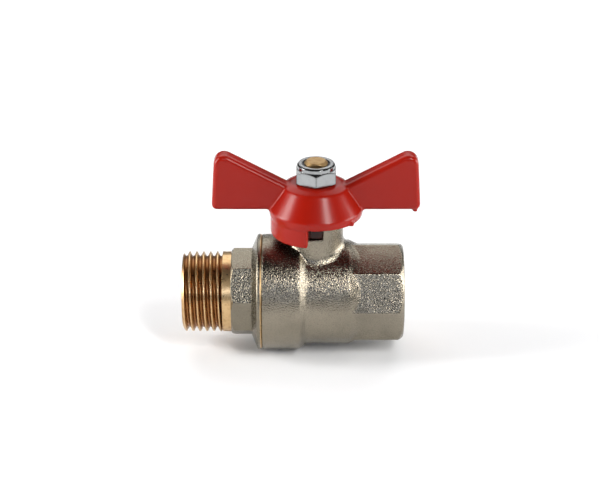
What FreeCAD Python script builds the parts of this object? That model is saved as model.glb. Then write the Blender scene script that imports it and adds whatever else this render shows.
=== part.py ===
import FreeCAD, Part
import math
import os

import Sketcher

# A half-inch quarter-turn ball valve, male thread one end and female thread the other.
# The origin is the ball's centre: X runs along the pipe towards the female end, Z runs up the stem,
# and -Y is the front. The handle lies along the pipe, so the valve is open.
# Lengths are in millimetres and angles in degrees.

DOCUMENT = FreeCAD.newDocument("ball_valve")
SHEET = DOCUMENT.addObject("Spreadsheet::Sheet", "Sizes")
OUTPUT_FOLDER = "parts"
SWEEP_PAST = 3.0  # how far a cutting outline runs past the face that it cuts through
NEAR = 0.01  # how close an edge's middle must come to a place to count as being there
SHEET_ROWS = []


class Size:
    """A length or an angle that knows its value and the sheet formula that gives it."""

    def __init__(self, value, formula):
        self.value = value
        self.formula = formula

    def __add__(self, other):
        other = as_size(other)
        return Size(self.value + other.value, f"({self.formula} + {other.formula})")

    def __sub__(self, other):
        other = as_size(other)
        return Size(self.value - other.value, f"({self.formula} - {other.formula})")

    def __mul__(self, other):
        other = as_size(other)
        return Size(self.value * other.value, f"({self.formula} * {other.formula})")

    def __truediv__(self, other):
        other = as_size(other)
        return Size(self.value / other.value, f"({self.formula} / {other.formula})")

    def __neg__(self):
        return Size(-self.value, f"(0 - {self.formula})")


def as_size(number):
    """Turn a plain number into a Size, and leave a Size as it is."""
    if isinstance(number, Size):
        return number
    return Size(float(number), f"({float(number)!r})")


def cosine(angle):
    return Size(math.cos(math.radians(angle.value)), f"cos({angle.formula} * 1 deg)")


def sine(angle):
    return Size(math.sin(math.radians(angle.value)), f"sin({angle.formula} * 1 deg)")


def tangent(angle):
    return Size(math.tan(math.radians(angle.value)), f"tan({angle.formula} * 1 deg)")


def driving(alias, value):
    """Write one driving dimension into the sheet and return it as a Size."""
    row = len(SHEET_ROWS) + 1
    SHEET_ROWS.append(alias)
    SHEET.set(f"A{row}", alias)
    SHEET.set(f"B{row}", str(value))
    SHEET.setAlias(f"B{row}", alias)
    return Size(value, f"Sizes.{alias}")


ZERO = as_size(0)
FULL_TURN = as_size(360)
HALF_OCTAGON_SIDE = FULL_TURN / 16  # the angle that half a side takes up
HALF_HEXAGON_SIDE = FULL_TURN / 12

# Pipe threads, parallel half-inch pipe form
thread_pitch = driving("thread_pitch", 1.814)
thread_major_radius = driving("thread_major_radius", 10.4775)
thread_depth = driving("thread_depth", 1.162)
thread_flank_angle = driving("thread_flank_angle", 27.5)
thread_crest_width = driving("thread_crest_width", 0.3)
thread_relief = driving("thread_relief", 0.03)
thread_minor_radius = thread_major_radius - thread_depth

# Clearances and overlaps that many pieces share
screwed_gap = driving("screwed_gap", 0.03)
join_overlap = driving("join_overlap", 0.25)
thread_sinking = driving("thread_sinking", 0.3)
hidden_step = driving("hidden_step", 0.03)
sharp_edge_break = driving("sharp_edge_break", 0.25)

# Ball, waterway and seats
waterway_radius = driving("waterway_radius", 7.0)
ball_radius = driving("ball_radius", 10.75)
ball_room = driving("ball_room", 0.35)
seat_step = driving("seat_step", 0.3)
seat_inset = driving("seat_inset", 0.35)
seat_back_inset = driving("seat_back_inset", 1.55)
seat_length = driving("seat_length", 3.7)
seat_ball_gap = driving("seat_ball_gap", 0.05)
seat_pocket_gap = driving("seat_pocket_gap", 0.05)
seat_inner_radius = waterway_radius + seat_step
seat_outer_radius = ball_radius - seat_inset
seat_pocket_radius = seat_outer_radius + seat_pocket_gap
seat_back = ball_radius - seat_back_inset
seat_front = seat_back - seat_length
cavity_radius = ball_radius + ball_room

# Stem and its seals, from the ball upwards
slot_web = driving("slot_web", 1.1)
slot_width = driving("slot_width", 4.1)
tang_side_gap = driving("tang_side_gap", 0.05)
tang_floor_gap = driving("tang_floor_gap", 0.2)
stem_lift = driving("stem_lift", 0.65)
stem_radius = driving("stem_radius", 4.0)
stem_gap = driving("stem_gap", 0.05)
stem_ledge = driving("stem_ledge", 1.0)
stem_ledge_height = driving("stem_ledge_height", 1.0)
stem_ledge_gap = driving("stem_ledge_gap", 0.2)
thrust_washer_height = driving("thrust_washer_height", 0.6)
stem_bridge_height = driving("stem_bridge_height", 1.0)
packing_width = driving("packing_width", 1.4)
packing_ring_height = driving("packing_ring_height", 0.8)
gland_nut_height = driving("gland_nut_height", 2.0)
gland_slot_width = driving("gland_slot_width", 1.4)
gland_slot_depth = driving("gland_slot_depth", 0.9)
slot_floor = waterway_radius + slot_web
tang_bottom = slot_floor + tang_floor_gap
stem_ledge_radius = stem_radius + stem_ledge
stem_ledge_bottom = ball_radius + stem_lift
stem_ledge_top = stem_ledge_bottom + stem_ledge_height
ledge_pocket_radius = stem_ledge_radius + stem_ledge_gap
thrust_washer_top = stem_ledge_top + thrust_washer_height
stem_hole_radius = stem_radius + stem_gap
gland_radius = stem_radius + packing_width
gland_floor = thrust_washer_top + stem_bridge_height
packing_middle = gland_floor + packing_ring_height
packing_top = packing_middle + packing_ring_height
gland_nut_top = packing_top + gland_nut_height

# Spigot of the end connector, and the shell's thicker collar round it
spigot_step = driving("spigot_step", 0.9)
spigot_length = driving("spigot_length", 8.8)
spigot_floor_gap = driving("spigot_floor_gap", 0.3)
collar_wall = driving("collar_wall", 3.07)
collar_overrun = driving("collar_overrun", 0.6)
collar_slope_length = driving("collar_slope_length", 1.8)
spigot_radius = cavity_radius + spigot_step
spigot_bore_radius = spigot_radius + screwed_gap
spigot_end = ledge_pocket_radius
spigot_floor = spigot_end - spigot_floor_gap
joint_face = spigot_end + spigot_length
collar_radius = spigot_bore_radius + collar_wall
collar_end = spigot_floor - collar_overrun
collar_slope_end = collar_end - collar_slope_length

# Shell and female socket
shell_wall = driving("shell_wall", 2.5)
shell_shoulder = driving("shell_shoulder", 0.5)
taper_length = driving("taper_length", 2.6)
seat_shelf = driving("seat_shelf", 3.2)
socket_depth = driving("socket_depth", 10.4)
socket_runout = driving("socket_runout", 2.2)
socket_wall = driving("socket_wall", 1.9225)
socket_chamfer = driving("socket_chamfer", 1.4)
socket_face_inset = driving("socket_face_inset", 0.5)
socket_mouth_rise = driving("socket_mouth_rise", 0.4725)
shell_radius = cavity_radius + shell_wall
shell_round_end = seat_back - shell_shoulder
taper_end = shell_round_end + taper_length
socket_floor = seat_back + seat_shelf
socket_thread_start = socket_floor + socket_runout
female_end = socket_floor + socket_depth
socket_flat_radius = thread_major_radius + socket_wall
socket_corner_radius = socket_flat_radius / cosine(HALF_OCTAGON_SIDE)
socket_face_radius = socket_flat_radius - socket_face_inset
socket_mouth_radius = thread_major_radius + socket_mouth_rise

# End connector: flange, octagon neck, plain land and male thread
flange_land = driving("flange_land", 1.2)
flange_slope_length = driving("flange_slope_length", 1.4)
flange_foot_rise = driving("flange_foot_rise", 0.675)
neck_length = driving("neck_length", 5.3)
neck_rise = driving("neck_rise", 0.3475)
neck_clocking = driving("neck_clocking", 34.4)
neck_chamfer = driving("neck_chamfer", 0.7)
land_length = driving("land_length", 2.3)
male_thread_length = driving("male_thread_length", 10.4)
male_tip_rise = driving("male_tip_rise", 0.3845)
male_tip_length = driving("male_tip_length", 0.9)
flange_shoulder = joint_face + flange_land
flange_foot = flange_shoulder + flange_slope_length
neck_end = flange_foot + neck_length
male_thread_end = neck_end + land_length
male_end = male_thread_end + male_thread_length
neck_flat_radius = thread_major_radius + neck_rise
neck_corner_radius = neck_flat_radius / cosine(HALF_OCTAGON_SIDE)
flange_foot_radius = neck_flat_radius + flange_foot_rise
male_tip_radius = thread_minor_radius + male_tip_rise

# Stem boss and the pillar that stops the handle
boss_wall = driving("boss_wall", 1.67)
boss_rise = driving("boss_rise", 0.2)
boss_fillet = driving("boss_fillet", 2.6)
pillar_height = driving("pillar_height", 4.3)
pillar_start_angle = driving("pillar_start_angle", -75.0)
pillar_angle = driving("pillar_angle", 90.0)
gland_bore_radius = gland_radius + screwed_gap
boss_radius = gland_bore_radius + boss_wall
boss_top = gland_nut_top + boss_rise
pillar_top = boss_top + pillar_height
pillar_end_angle = pillar_start_angle + pillar_angle

# Handle hub: rim, dome and the wall inside it
handle_turn = driving("handle_turn", 90.0)
stop_gap_angle = driving("stop_gap_angle", 0.5)
stop_wall_gap = driving("stop_wall_gap", 0.3)
rim_gap = driving("rim_gap", 0.3)
rim_height = driving("rim_height", 1.9)
rim_flare = driving("rim_flare", 0.3)
rim_room = driving("rim_room", 2.9)
handle_wall = driving("handle_wall", 1.9)
hub_wall = driving("hub_wall", 1.6)
hub_foot_rise = driving("hub_foot_rise", 0.3)
dome_height = driving("dome_height", 6.9)
dome_run_in = driving("dome_run_in", 3.9)
dome_shoulder_drop = driving("dome_shoulder_drop", 0.9)
dome_shoulder_width = driving("dome_shoulder_width", 2.0)
dome_edge_round = driving("dome_edge_round", 0.6)
dome_crown = driving("dome_crown", 2.6)
handle_hole_gap = driving("handle_hole_gap", 0.04)
rim_bottom = pillar_top + rim_gap
rim_radius = boss_radius + rim_room + handle_wall
hollow_radius = rim_radius - handle_wall
brim = rim_bottom + rim_height
brim_radius = rim_radius + rim_flare
hub_radius = stem_radius + hub_wall
hub_foot = brim + hub_foot_rise
dome_top = brim + dome_height
dome_shoulder = dome_top - dome_shoulder_drop
dome_shoulder_radius = brim_radius - dome_run_in
dome_top_radius = dome_shoulder_radius - dome_shoulder_width
crown_radius = dome_shoulder_radius - handle_wall / 2
stop_wall_bottom = boss_top + stop_wall_gap
stop_wall_start_angle = pillar_end_angle + stop_gap_angle + handle_turn
stop_wall_angle = FULL_TURN - pillar_angle - handle_turn - stop_gap_angle * 2

# Handle skirt and wings
skirt_drop = driving("skirt_drop", 0.3)
skirt_inset = driving("skirt_inset", 0.2)
skirt_start_angle = driving("skirt_start_angle", 101.5)
skirt_angle = driving("skirt_angle", 157.0)
skirt_rib_angle = driving("skirt_rib_angle", 9.0)
wing_thickness = driving("wing_thickness", 5.2)
wing_drop = driving("wing_drop", 0.15)
wing_height = driving("wing_height", 16.55)
wing_length = driving("wing_length", 14.6)
wing_lean = driving("wing_lean", 1.0)
wing_root_drop = driving("wing_root_drop", 1.3)
wing_root_inset = driving("wing_root_inset", 0.7)
wing_top_corner = driving("wing_top_corner", 2.7)
wing_tip_corner = driving("wing_tip_corner", 1.3)
wing_edge_round = driving("wing_edge_round", 1.2)
skirt_bottom = boss_top - skirt_drop
skirt_radius = rim_radius - skirt_inset
wing_bottom = brim - wing_drop
wing_top = wing_bottom + wing_height
wing_tip = brim_radius + wing_length
wing_top_reach = wing_tip - wing_lean
wing_root = dome_top - wing_root_drop
wing_root_reach = dome_top_radius - wing_root_inset

# Stem end and lock nut
stem_end_radius = driving("stem_end_radius", 3.0)
stem_flat_depth = driving("stem_flat_depth", 0.4)
stem_stand_out = driving("stem_stand_out", 0.7)
stem_end_chamfer = driving("stem_end_chamfer", 0.6)
nut_wall = driving("nut_wall", 2.0)
nut_hex_height = driving("nut_hex_height", 3.8)
nut_chamfer = driving("nut_chamfer", 0.5)
nut_collar_inset = driving("nut_collar_inset", 0.15)
nut_collar_height = driving("nut_collar_height", 1.3)
nut_collar_lip = driving("nut_collar_lip", 0.35)
nut_insert_width = driving("nut_insert_width", 1.2)
nut_insert_height = driving("nut_insert_height", 1.6)
stem_flat = stem_end_radius - stem_flat_depth
nut_flat_radius = stem_end_radius + nut_wall
nut_corner_radius = nut_flat_radius / cosine(HALF_HEXAGON_SIDE)
nut_collar_radius = nut_flat_radius - nut_collar_inset
nut_hex_top = dome_top + nut_hex_height
nut_top = nut_hex_top + nut_collar_height
nut_insert_top = nut_top - nut_collar_lip
nut_insert_bottom = nut_insert_top - nut_insert_height
nut_bore_radius = stem_end_radius + screwed_gap
nut_insert_radius = stem_end_radius + nut_insert_width
nut_insert_pocket_radius = nut_insert_radius + screwed_gap
nut_lip_radius = nut_insert_pocket_radius - nut_collar_lip * 2
stem_end_top = nut_top + stem_stand_out


def vector(across, along, up):
    return FreeCAD.Vector(across, along, up)


def new_body(label):
    """Start a PartDesign body whose label is the piece's name."""
    body = DOCUMENT.addObject("PartDesign::Body", label)
    body.Label = label
    return body


def origin_plane(body, role):
    """Find one of a body's own origin planes by its role."""
    for feature in body.Origin.OriginFeatures:
        if feature.Role == role:
            return feature
    raise ValueError(f"{body.Label} has no {role}")


def new_sketch(body, name, role, height=None, turn=None):
    """Attach a sketch to an origin plane, raised along its normal or turned about its upright axis."""
    sketch = body.newObject("Sketcher::SketchObject", name)
    sketch.AttachmentSupport = [(origin_plane(body, role), "")]
    sketch.MapMode = "FlatFace"
    if height is not None:
        sketch.AttachmentOffset = FreeCAD.Placement(vector(0, 0, height.value), FreeCAD.Rotation())
        sketch.setExpression("AttachmentOffset.Base.z", height.formula)
    if turn is not None:
        rotation = FreeCAD.Rotation(vector(0, 1, 0), turn.value)
        sketch.AttachmentOffset = FreeCAD.Placement(vector(0, 0, 0), rotation)
        sketch.setExpression("AttachmentOffset.Rotation.Angle", turn.formula)
    return sketch


def hold(sketch, kind, name, size, *places):
    """Add a named dimension to a sketch and bind it to its sheet formula."""
    number = sketch.addConstraint(Sketcher.Constraint(kind, *places, size.value))
    sketch.renameConstraint(number, name)
    sketch.setExpression(f"Constraints.{name}", size.formula)


def outline(body, name, role, corners, height=None, turn=None):
    """Draw a closed outline of straight lines whose corners are (across, up) pairs of sizes."""
    sketch = new_sketch(body, name, role, height, turn)
    points = [vector(across.value, up.value, 0) for across, up in corners]
    for here, there in zip(points, points[1:] + points[:1]):
        sketch.addGeometry(Part.LineSegment(here, there), False)
    for number, (across, up) in enumerate(corners):
        before = (number - 1) % len(corners)
        sketch.addConstraint(Sketcher.Constraint("Coincident", before, 2, number, 1))
        hold(sketch, "DistanceX", f"across_{number}", across, -1, 1, number, 1)
        hold(sketch, "DistanceY", f"up_{number}", up, -1, 1, number, 1)
    return sketch


def circle(body, name, role, radius, height=None):
    """Draw one circle about the sketch's origin."""
    sketch = new_sketch(body, name, role, height)
    sketch.addGeometry(Part.Circle(vector(0, 0, 0), vector(0, 0, 1), radius.value), False)
    sketch.addConstraint(Sketcher.Constraint("Coincident", 0, 3, -1, 1))
    hold(sketch, "Radius", "radius", radius, 0)
    return sketch


def ring_corners(inner, outer, bottom, top):
    """The four corners of a rectangle between two radii and two heights."""
    return [(inner, bottom), (outer, bottom), (outer, top), (inner, top)]


def polygon_corners(sides, corner_radius, clocking):
    """Corners of a regular polygon, the first one turned by the clocking angle."""
    step = as_size(360 / sides)
    corners = []
    for number in range(sides):
        angle = clocking + step * number
        corners.append((corner_radius * cosine(angle), corner_radius * sine(angle)))
    return corners


def finish_feature(feature):
    """Recompute and stop if the feature failed or left no valid solid."""
    DOCUMENT.recompute()
    if {"Invalid", "Error"} & set(feature.State):
        raise RuntimeError(f"{feature.Label}: {feature.State}")
    if feature.Shape.isNull() or not feature.Shape.isValid():
        raise RuntimeError(f"{feature.Label} has no valid shape")
    return feature


def pad(body, sketch, length, both_ways=False):
    """Extrude a sketch along its normal."""
    feature = body.newObject("PartDesign::Pad", f"{sketch.Name}_pad")
    feature.Profile = sketch
    feature.Midplane = both_ways
    feature.setExpression("Length", length.formula)
    return finish_feature(feature)


def revolve(body, sketch, axis, angle=FULL_TURN):
    """Add a solid turned about one of the sketch's axes."""
    feature = body.newObject("PartDesign::Revolution", f"{sketch.Name}_turned")
    feature.Profile = sketch
    feature.ReferenceAxis = (sketch, [axis])
    feature.setExpression("Angle", angle.formula)
    return finish_feature(feature)


def removing(body, feature):
    """Finish a cut and stop if it removed nothing."""
    before = feature.BaseFeature.Shape.Volume
    finish_feature(feature)
    if feature.Shape.Volume > before - 1e-3:
        raise RuntimeError(f"{body.Label}: {feature.Label} cuts nothing")
    return feature


def groove(body, sketch, axis):
    """Cut a full turn about one of the sketch's axes."""
    feature = body.newObject("PartDesign::Groove", f"{sketch.Name}_cut")
    feature.Profile = sketch
    feature.ReferenceAxis = (sketch, [axis])
    feature.Angle = 360
    return removing(body, feature)


def pocket(body, sketch, length, both_ways=False):
    """Cut a sketch along its normal, upwards from the sketch's plane or half each way."""
    feature = body.newObject("PartDesign::Pocket", f"{sketch.Name}_cut")
    feature.Profile = sketch
    feature.Midplane = both_ways
    feature.Reversed = not both_ways
    feature.setExpression("Length", length.formula)
    return removing(body, feature)


def fillet(body, base, name, radius, wanted):
    """Round the edges of the base feature for which wanted(edge) is true."""
    names = [f"Edge{number}" for number, edge in enumerate(base.Shape.Edges, 1) if wanted(edge)]
    feature = body.newObject("PartDesign::Fillet", name)
    feature.Base = (base, names)
    feature.setExpression("Radius", radius.formula)
    return finish_feature(feature)


def edge_middle(edge):
    return edge.valueAt((edge.FirstParameter + edge.LastParameter) / 2)


def thread_ridge(body, name, start, height, root_radius, crest_radius, root_overlap):
    """Wind a right-handed thread ridge about X, from root to crest, sunk a little into its wall."""
    half_crest = thread_crest_width / 2
    depth = thread_depth - thread_relief
    half_root = half_crest + depth * tangent(thread_flank_angle)
    profile = outline(body, name, "XZ_Plane", [
        (start - half_root, root_radius + root_overlap),
        (start - half_root, root_radius),
        (start - half_crest, crest_radius),
        (start + half_crest, crest_radius),
        (start + half_root, root_radius),
        (start + half_root, root_radius + root_overlap),
    ])
    DOCUMENT.recompute()
    feature = body.newObject("PartDesign::AdditiveHelix", f"{name}_helix")
    feature.Profile = profile
    feature.ReferenceAxis = (profile, ["H_Axis"])
    feature.Mode = "pitch-height-angle"
    feature.LeftHanded = False
    feature.setExpression("Pitch", thread_pitch.formula)
    feature.setExpression("Height", height.formula)
    return finish_feature(feature)


def make_valve_body():
    """The forged shell: ball chamber, female socket, stem boss and handle stop."""
    body = new_body("valve_body")
    make_barrel(body)
    make_collar_and_socket(body)
    make_stop_pillar(body)
    cut_ball_chamber(body)
    cut_stem_passage(body)
    cut_socket_thread(body)
    return body


def make_barrel(body):
    """Round barrel with the stem boss rounded into it, tapered towards the socket."""
    barrel_end = taper_end + boss_fillet
    barrel = outline(body, "barrel", "XZ_Plane", [
        (-joint_face, ZERO),
        (-joint_face, -shell_radius),
        (barrel_end, -shell_radius),
        (barrel_end, ZERO),
    ])
    revolve(body, barrel, "H_Axis")
    boss = pad(body, circle(body, "boss", "XY_Plane", boss_radius), boss_top)

    def at_boss_foot(edge):
        middle = edge_middle(edge)
        on_boss = abs(math.hypot(middle.x, middle.y) - boss_radius.value) < NEAR
        below_top = 0 < middle.z < boss_top.value - NEAR
        return on_boss and below_top and "Line" not in str(edge.Curve)

    fillet(body, boss, "boss_foot", boss_fillet, at_boss_foot)
    cleared = outline(body, "cleared_end", "XZ_Plane", [
        (shell_round_end, thread_major_radius),
        (barrel_end + SWEEP_PAST, thread_major_radius),
        (barrel_end + SWEEP_PAST, shell_radius + boss_fillet),
        (shell_round_end, shell_radius + boss_fillet),
    ])
    groove(body, cleared, "H_Axis")
    taper = outline(body, "taper", "XZ_Plane", [
        (shell_round_end, ZERO),
        (shell_round_end, shell_radius),
        (taper_end, socket_flat_radius - hidden_step),
        (taper_end, ZERO),
    ])
    revolve(body, taper, "H_Axis")


def make_collar_and_socket(body):
    """Thicker collar round the end connector, and the octagon socket with its corners turned off."""
    collar = outline(body, "collar", "XZ_Plane", [
        (-joint_face, ZERO),
        (-joint_face, collar_radius - sharp_edge_break),
        (-joint_face + sharp_edge_break, collar_radius),
        (-collar_end, collar_radius),
        (-collar_slope_end, shell_radius - hidden_step),
        (-collar_slope_end, ZERO),
    ])
    revolve(body, collar, "H_Axis")
    octagon = polygon_corners(8, socket_corner_radius, ZERO)
    socket = outline(body, "socket", "YZ_Plane", octagon, height=seat_front)
    pad(body, socket, female_end - seat_front)
    corner_cut = outline(body, "socket_corners", "XZ_Plane", [
        (female_end - socket_chamfer, socket_corner_radius),
        (female_end, socket_face_radius),
        (female_end + SWEEP_PAST, socket_face_radius),
        (female_end + SWEEP_PAST, socket_corner_radius + SWEEP_PAST),
        (female_end - socket_chamfer, socket_corner_radius + SWEEP_PAST),
    ])
    groove(body, corner_cut, "H_Axis")


def make_stop_pillar(body):
    """The taller stretch of the boss's wall, at its front right, that stops the handle."""
    corners = ring_corners(gland_radius, boss_radius, boss_top - join_overlap, pillar_top)
    pillar = outline(body, "stop_pillar", "XZ_Plane", corners, turn=pillar_start_angle)
    revolve(body, pillar, "V_Axis", pillar_angle)


def cut_ball_chamber(body):
    """The stepped bore along the pipe: connector bore, ball chamber, seat pocket and waterway."""
    chamber = outline(body, "chamber", "XZ_Plane", [
        (-joint_face - SWEEP_PAST, ZERO),
        (-joint_face - SWEEP_PAST, spigot_bore_radius),
        (-spigot_floor, spigot_bore_radius),
        (-spigot_floor, cavity_radius),
        (seat_front, cavity_radius),
        (seat_front, seat_pocket_radius),
        (seat_back, seat_pocket_radius),
        (seat_back, waterway_radius),
        (socket_floor, waterway_radius),
        (socket_floor, thread_minor_radius),
        (socket_thread_start, thread_minor_radius),
        (socket_thread_start, thread_major_radius),
        (female_end + SWEEP_PAST, thread_major_radius),
        (female_end + SWEEP_PAST, ZERO),
    ])
    groove(body, chamber, "H_Axis")


def cut_stem_passage(body):
    """Stem hole, with a pocket for the stem's collar below it and the gland bore above."""
    passage = outline(body, "stem_passage", "XZ_Plane", [
        (ZERO, slot_floor),
        (ledge_pocket_radius, slot_floor),
        (ledge_pocket_radius, thrust_washer_top),
        (stem_hole_radius, thrust_washer_top),
        (stem_hole_radius, gland_floor),
        (gland_bore_radius, gland_floor),
        (gland_bore_radius, pillar_top + SWEEP_PAST),
        (ZERO, pillar_top + SWEEP_PAST),
    ])
    groove(body, passage, "V_Axis")


def cut_socket_thread(body):
    """Female thread ridge, trimmed at the mouth by its chamfer."""
    start = socket_thread_start - thread_pitch / 2
    crest = thread_minor_radius + thread_relief
    height = female_end - start + thread_pitch / 2
    thread_ridge(body, "socket_ridge", start, height, thread_major_radius, crest, thread_sinking)
    mouth_depth = socket_mouth_radius - thread_minor_radius
    mouth = outline(body, "socket_mouth", "XZ_Plane", [
        (female_end - mouth_depth, ZERO),
        (female_end - mouth_depth, thread_minor_radius),
        (female_end, socket_mouth_radius),
        (female_end + SWEEP_PAST, socket_mouth_radius),
        (female_end + SWEEP_PAST, ZERO),
    ])
    groove(body, mouth, "H_Axis")


def make_end_connector():
    """The screwed end piece: male thread, octagon neck, flange and the spigot that holds a seat."""
    body = new_body("end_connector")
    inner_octagon = neck_flat_radius - join_overlap
    solid = outline(body, "connector", "XZ_Plane", [
        (-male_end, ZERO),
        (-male_end, thread_minor_radius),
        (-male_thread_end, thread_minor_radius),
        (-male_thread_end, thread_major_radius),
        (-neck_end, thread_major_radius),
        (-neck_end, inner_octagon),
        (-flange_foot, inner_octagon),
        (-flange_foot, flange_foot_radius),
        (-flange_shoulder, collar_radius - sharp_edge_break),
        (-flange_shoulder + sharp_edge_break, collar_radius),
        (-joint_face - sharp_edge_break, collar_radius),
        (-joint_face, collar_radius - sharp_edge_break),
        (-joint_face, spigot_radius),
        (-spigot_end, spigot_radius),
        (-spigot_end, ZERO),
    ])
    revolve(body, solid, "H_Axis")
    octagon = polygon_corners(8, neck_corner_radius, neck_clocking)
    neck = outline(body, "neck", "YZ_Plane", octagon, height=-neck_end)
    pad(body, neck, neck_end - (flange_foot + flange_shoulder) / 2)
    corner_cut = outline(body, "neck_corners", "XZ_Plane", [
        (-neck_end + neck_chamfer, neck_corner_radius),
        (-neck_end, neck_flat_radius),
        (-neck_end - SWEEP_PAST, neck_flat_radius),
        (-neck_end - SWEEP_PAST, neck_corner_radius + SWEEP_PAST),
        (-neck_end + neck_chamfer, neck_corner_radius + SWEEP_PAST),
    ])
    groove(body, corner_cut, "H_Axis")
    start = -male_end - thread_pitch
    height = male_end - (male_thread_end + neck_end) / 2 + thread_pitch
    crest = thread_major_radius - thread_relief
    thread_ridge(body, "male_ridge", start, height, thread_minor_radius, crest, -thread_sinking)
    tip = outline(body, "male_tip", "XZ_Plane", [
        (-male_end, ZERO),
        (-male_end, male_tip_radius),
        (-male_end + male_tip_length, thread_major_radius),
        (-male_end + male_tip_length, thread_major_radius + SWEEP_PAST),
        (-male_end - SWEEP_PAST, thread_major_radius + SWEEP_PAST),
        (-male_end - SWEEP_PAST, ZERO),
    ])
    groove(body, tip, "H_Axis")
    bore = outline(body, "connector_bore", "XZ_Plane", [
        (-male_end - SWEEP_PAST, ZERO),
        (-male_end - SWEEP_PAST, waterway_radius),
        (-seat_back, waterway_radius),
        (-seat_back, seat_pocket_radius),
        (-spigot_end + SWEEP_PAST, seat_pocket_radius),
        (-spigot_end + SWEEP_PAST, ZERO),
    ])
    groove(body, bore, "H_Axis")
    return body


def primitive(kind, name, sizes, placement):
    """Add a Part primitive, bind its sizes to the sheet and place it."""
    shape = DOCUMENT.addObject(kind, name)
    for property_name, size in sizes.items():
        shape.setExpression(property_name, size.formula)
    shape.Placement = placement
    return shape


def along_pipe(start):
    """A placement whose Z axis runs along +X from a distance along the pipe."""
    return FreeCAD.Placement(vector(start.value, 0, 0), FreeCAD.Rotation(vector(0, 1, 0), 90))


def bind_start(shape, start):
    shape.setExpression("Placement.Base.x", start.formula)
    return shape


def pipe_cylinder(name, radius, start, length):
    """A cylinder about the pipe's axis."""
    shape = primitive("Part::Cylinder", name, {"Radius": radius, "Height": length}, along_pipe(start))
    return bind_start(shape, start)


def cut(label, base, tools):
    """Subtract one or more tools from a base object, under the piece's own label."""
    tool = tools[0]
    if len(tools) > 1:
        tool = DOCUMENT.addObject("Part::MultiFuse", f"{label}_tools")
        tool.Shapes = tools
    result = DOCUMENT.addObject("Part::Cut", label)
    result.Label = label
    result.Base = base
    result.Tool = tool
    return finish_feature(result)


def make_ball():
    """Ball with its waterway, and the slot across its top that the stem's tang drives."""
    sphere = primitive("Part::Sphere", "ball_sphere", {"Radius": ball_radius}, FreeCAD.Placement())
    half_bore = ball_radius + SWEEP_PAST
    bore = pipe_cylinder("ball_bore", waterway_radius, -half_bore, half_bore * 2)
    slot_sizes = {"Length": slot_width, "Width": ball_radius * 2, "Height": ball_radius}
    slot = primitive("Part::Box", "ball_slot", slot_sizes, FreeCAD.Placement())
    slot.setExpression("Placement.Base.x", (-slot_width / 2).formula)
    slot.setExpression("Placement.Base.y", (-ball_radius).formula)
    slot.setExpression("Placement.Base.z", slot_floor.formula)
    return cut("ball", sphere, [bore, slot])


def make_seat(label, start):
    """One seat ring, hollowed to the ball's curve."""
    length = seat_back - seat_front
    ring = pipe_cylinder(f"{label}_ring", seat_outer_radius, start, length)
    bore_length = length + SWEEP_PAST * 2
    bore = pipe_cylinder(f"{label}_bore", seat_inner_radius, start - SWEEP_PAST, bore_length)
    rubbing_radius = ball_radius + seat_ball_gap
    sphere_sizes = {"Radius": rubbing_radius}
    sphere = primitive("Part::Sphere", f"{label}_curve", sphere_sizes, FreeCAD.Placement())
    return cut(label, ring, [bore, sphere])


def make_stem():
    """Stem with its tang, blow-out collar, round shank and the flatted end for the handle."""
    body = new_body("stem")
    shank = outline(body, "shank", "XZ_Plane", [
        (ZERO, stem_ledge_bottom),
        (stem_ledge_radius, stem_ledge_bottom),
        (stem_ledge_radius, stem_ledge_top),
        (stem_radius, stem_ledge_top),
        (stem_radius, hub_foot),
        (stem_end_radius, hub_foot),
        (stem_end_radius, stem_end_top - stem_end_chamfer),
        (stem_end_radius - stem_end_chamfer, stem_end_top),
        (ZERO, stem_end_top),
    ])
    revolve(body, shank, "V_Axis")
    half_thick = slot_width / 2 - tang_side_gap
    half_long = stem_hole_radius
    tang = outline(body, "tang", "XY_Plane", [
        (-half_thick, -half_long),
        (half_thick, -half_long),
        (half_thick, half_long),
        (-half_thick, half_long),
    ], height=tang_bottom)
    pad(body, tang, stem_ledge_top - tang_bottom)
    for side in (-1, 1):
        near = stem_flat * side
        far = stem_radius * side
        wide = stem_radius
        flat = outline(body, f"flat_{side + 1}", "XY_Plane", [
            (-wide, near),
            (wide, near),
            (wide, far),
            (-wide, far),
        ], height=hub_foot)
        pocket(body, flat, stem_end_top - hub_foot)
    return body


def make_ring(label, inner, outer, bottom, top):
    """A plain ring round the stem."""
    body = new_body(label)
    section = outline(body, f"{label}_section", "XZ_Plane", ring_corners(inner, outer, bottom, top))
    revolve(body, section, "V_Axis")
    return body


def make_gland_nut():
    """Threaded gland ring with a spanner slot across its top."""
    body = make_ring("gland_nut", stem_hole_radius, gland_radius, packing_top, gland_nut_top)
    half_slot = gland_slot_width / 2
    reach = gland_radius + SWEEP_PAST
    slot = outline(body, "spanner_slot", "XY_Plane", [
        (-reach, -half_slot),
        (reach, -half_slot),
        (reach, half_slot),
        (-reach, half_slot),
    ], height=gland_nut_top - gland_slot_depth)
    pocket(body, slot, gland_slot_depth + SWEEP_PAST)
    return body


def plate_corner(height):
    """Return a test for the edges that cross the wing plate at one height."""
    def wanted(edge):
        middle = edge_middle(edge)
        return abs(middle.y) < NEAR and abs(middle.z - height.value) < NEAR

    return wanted


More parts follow.
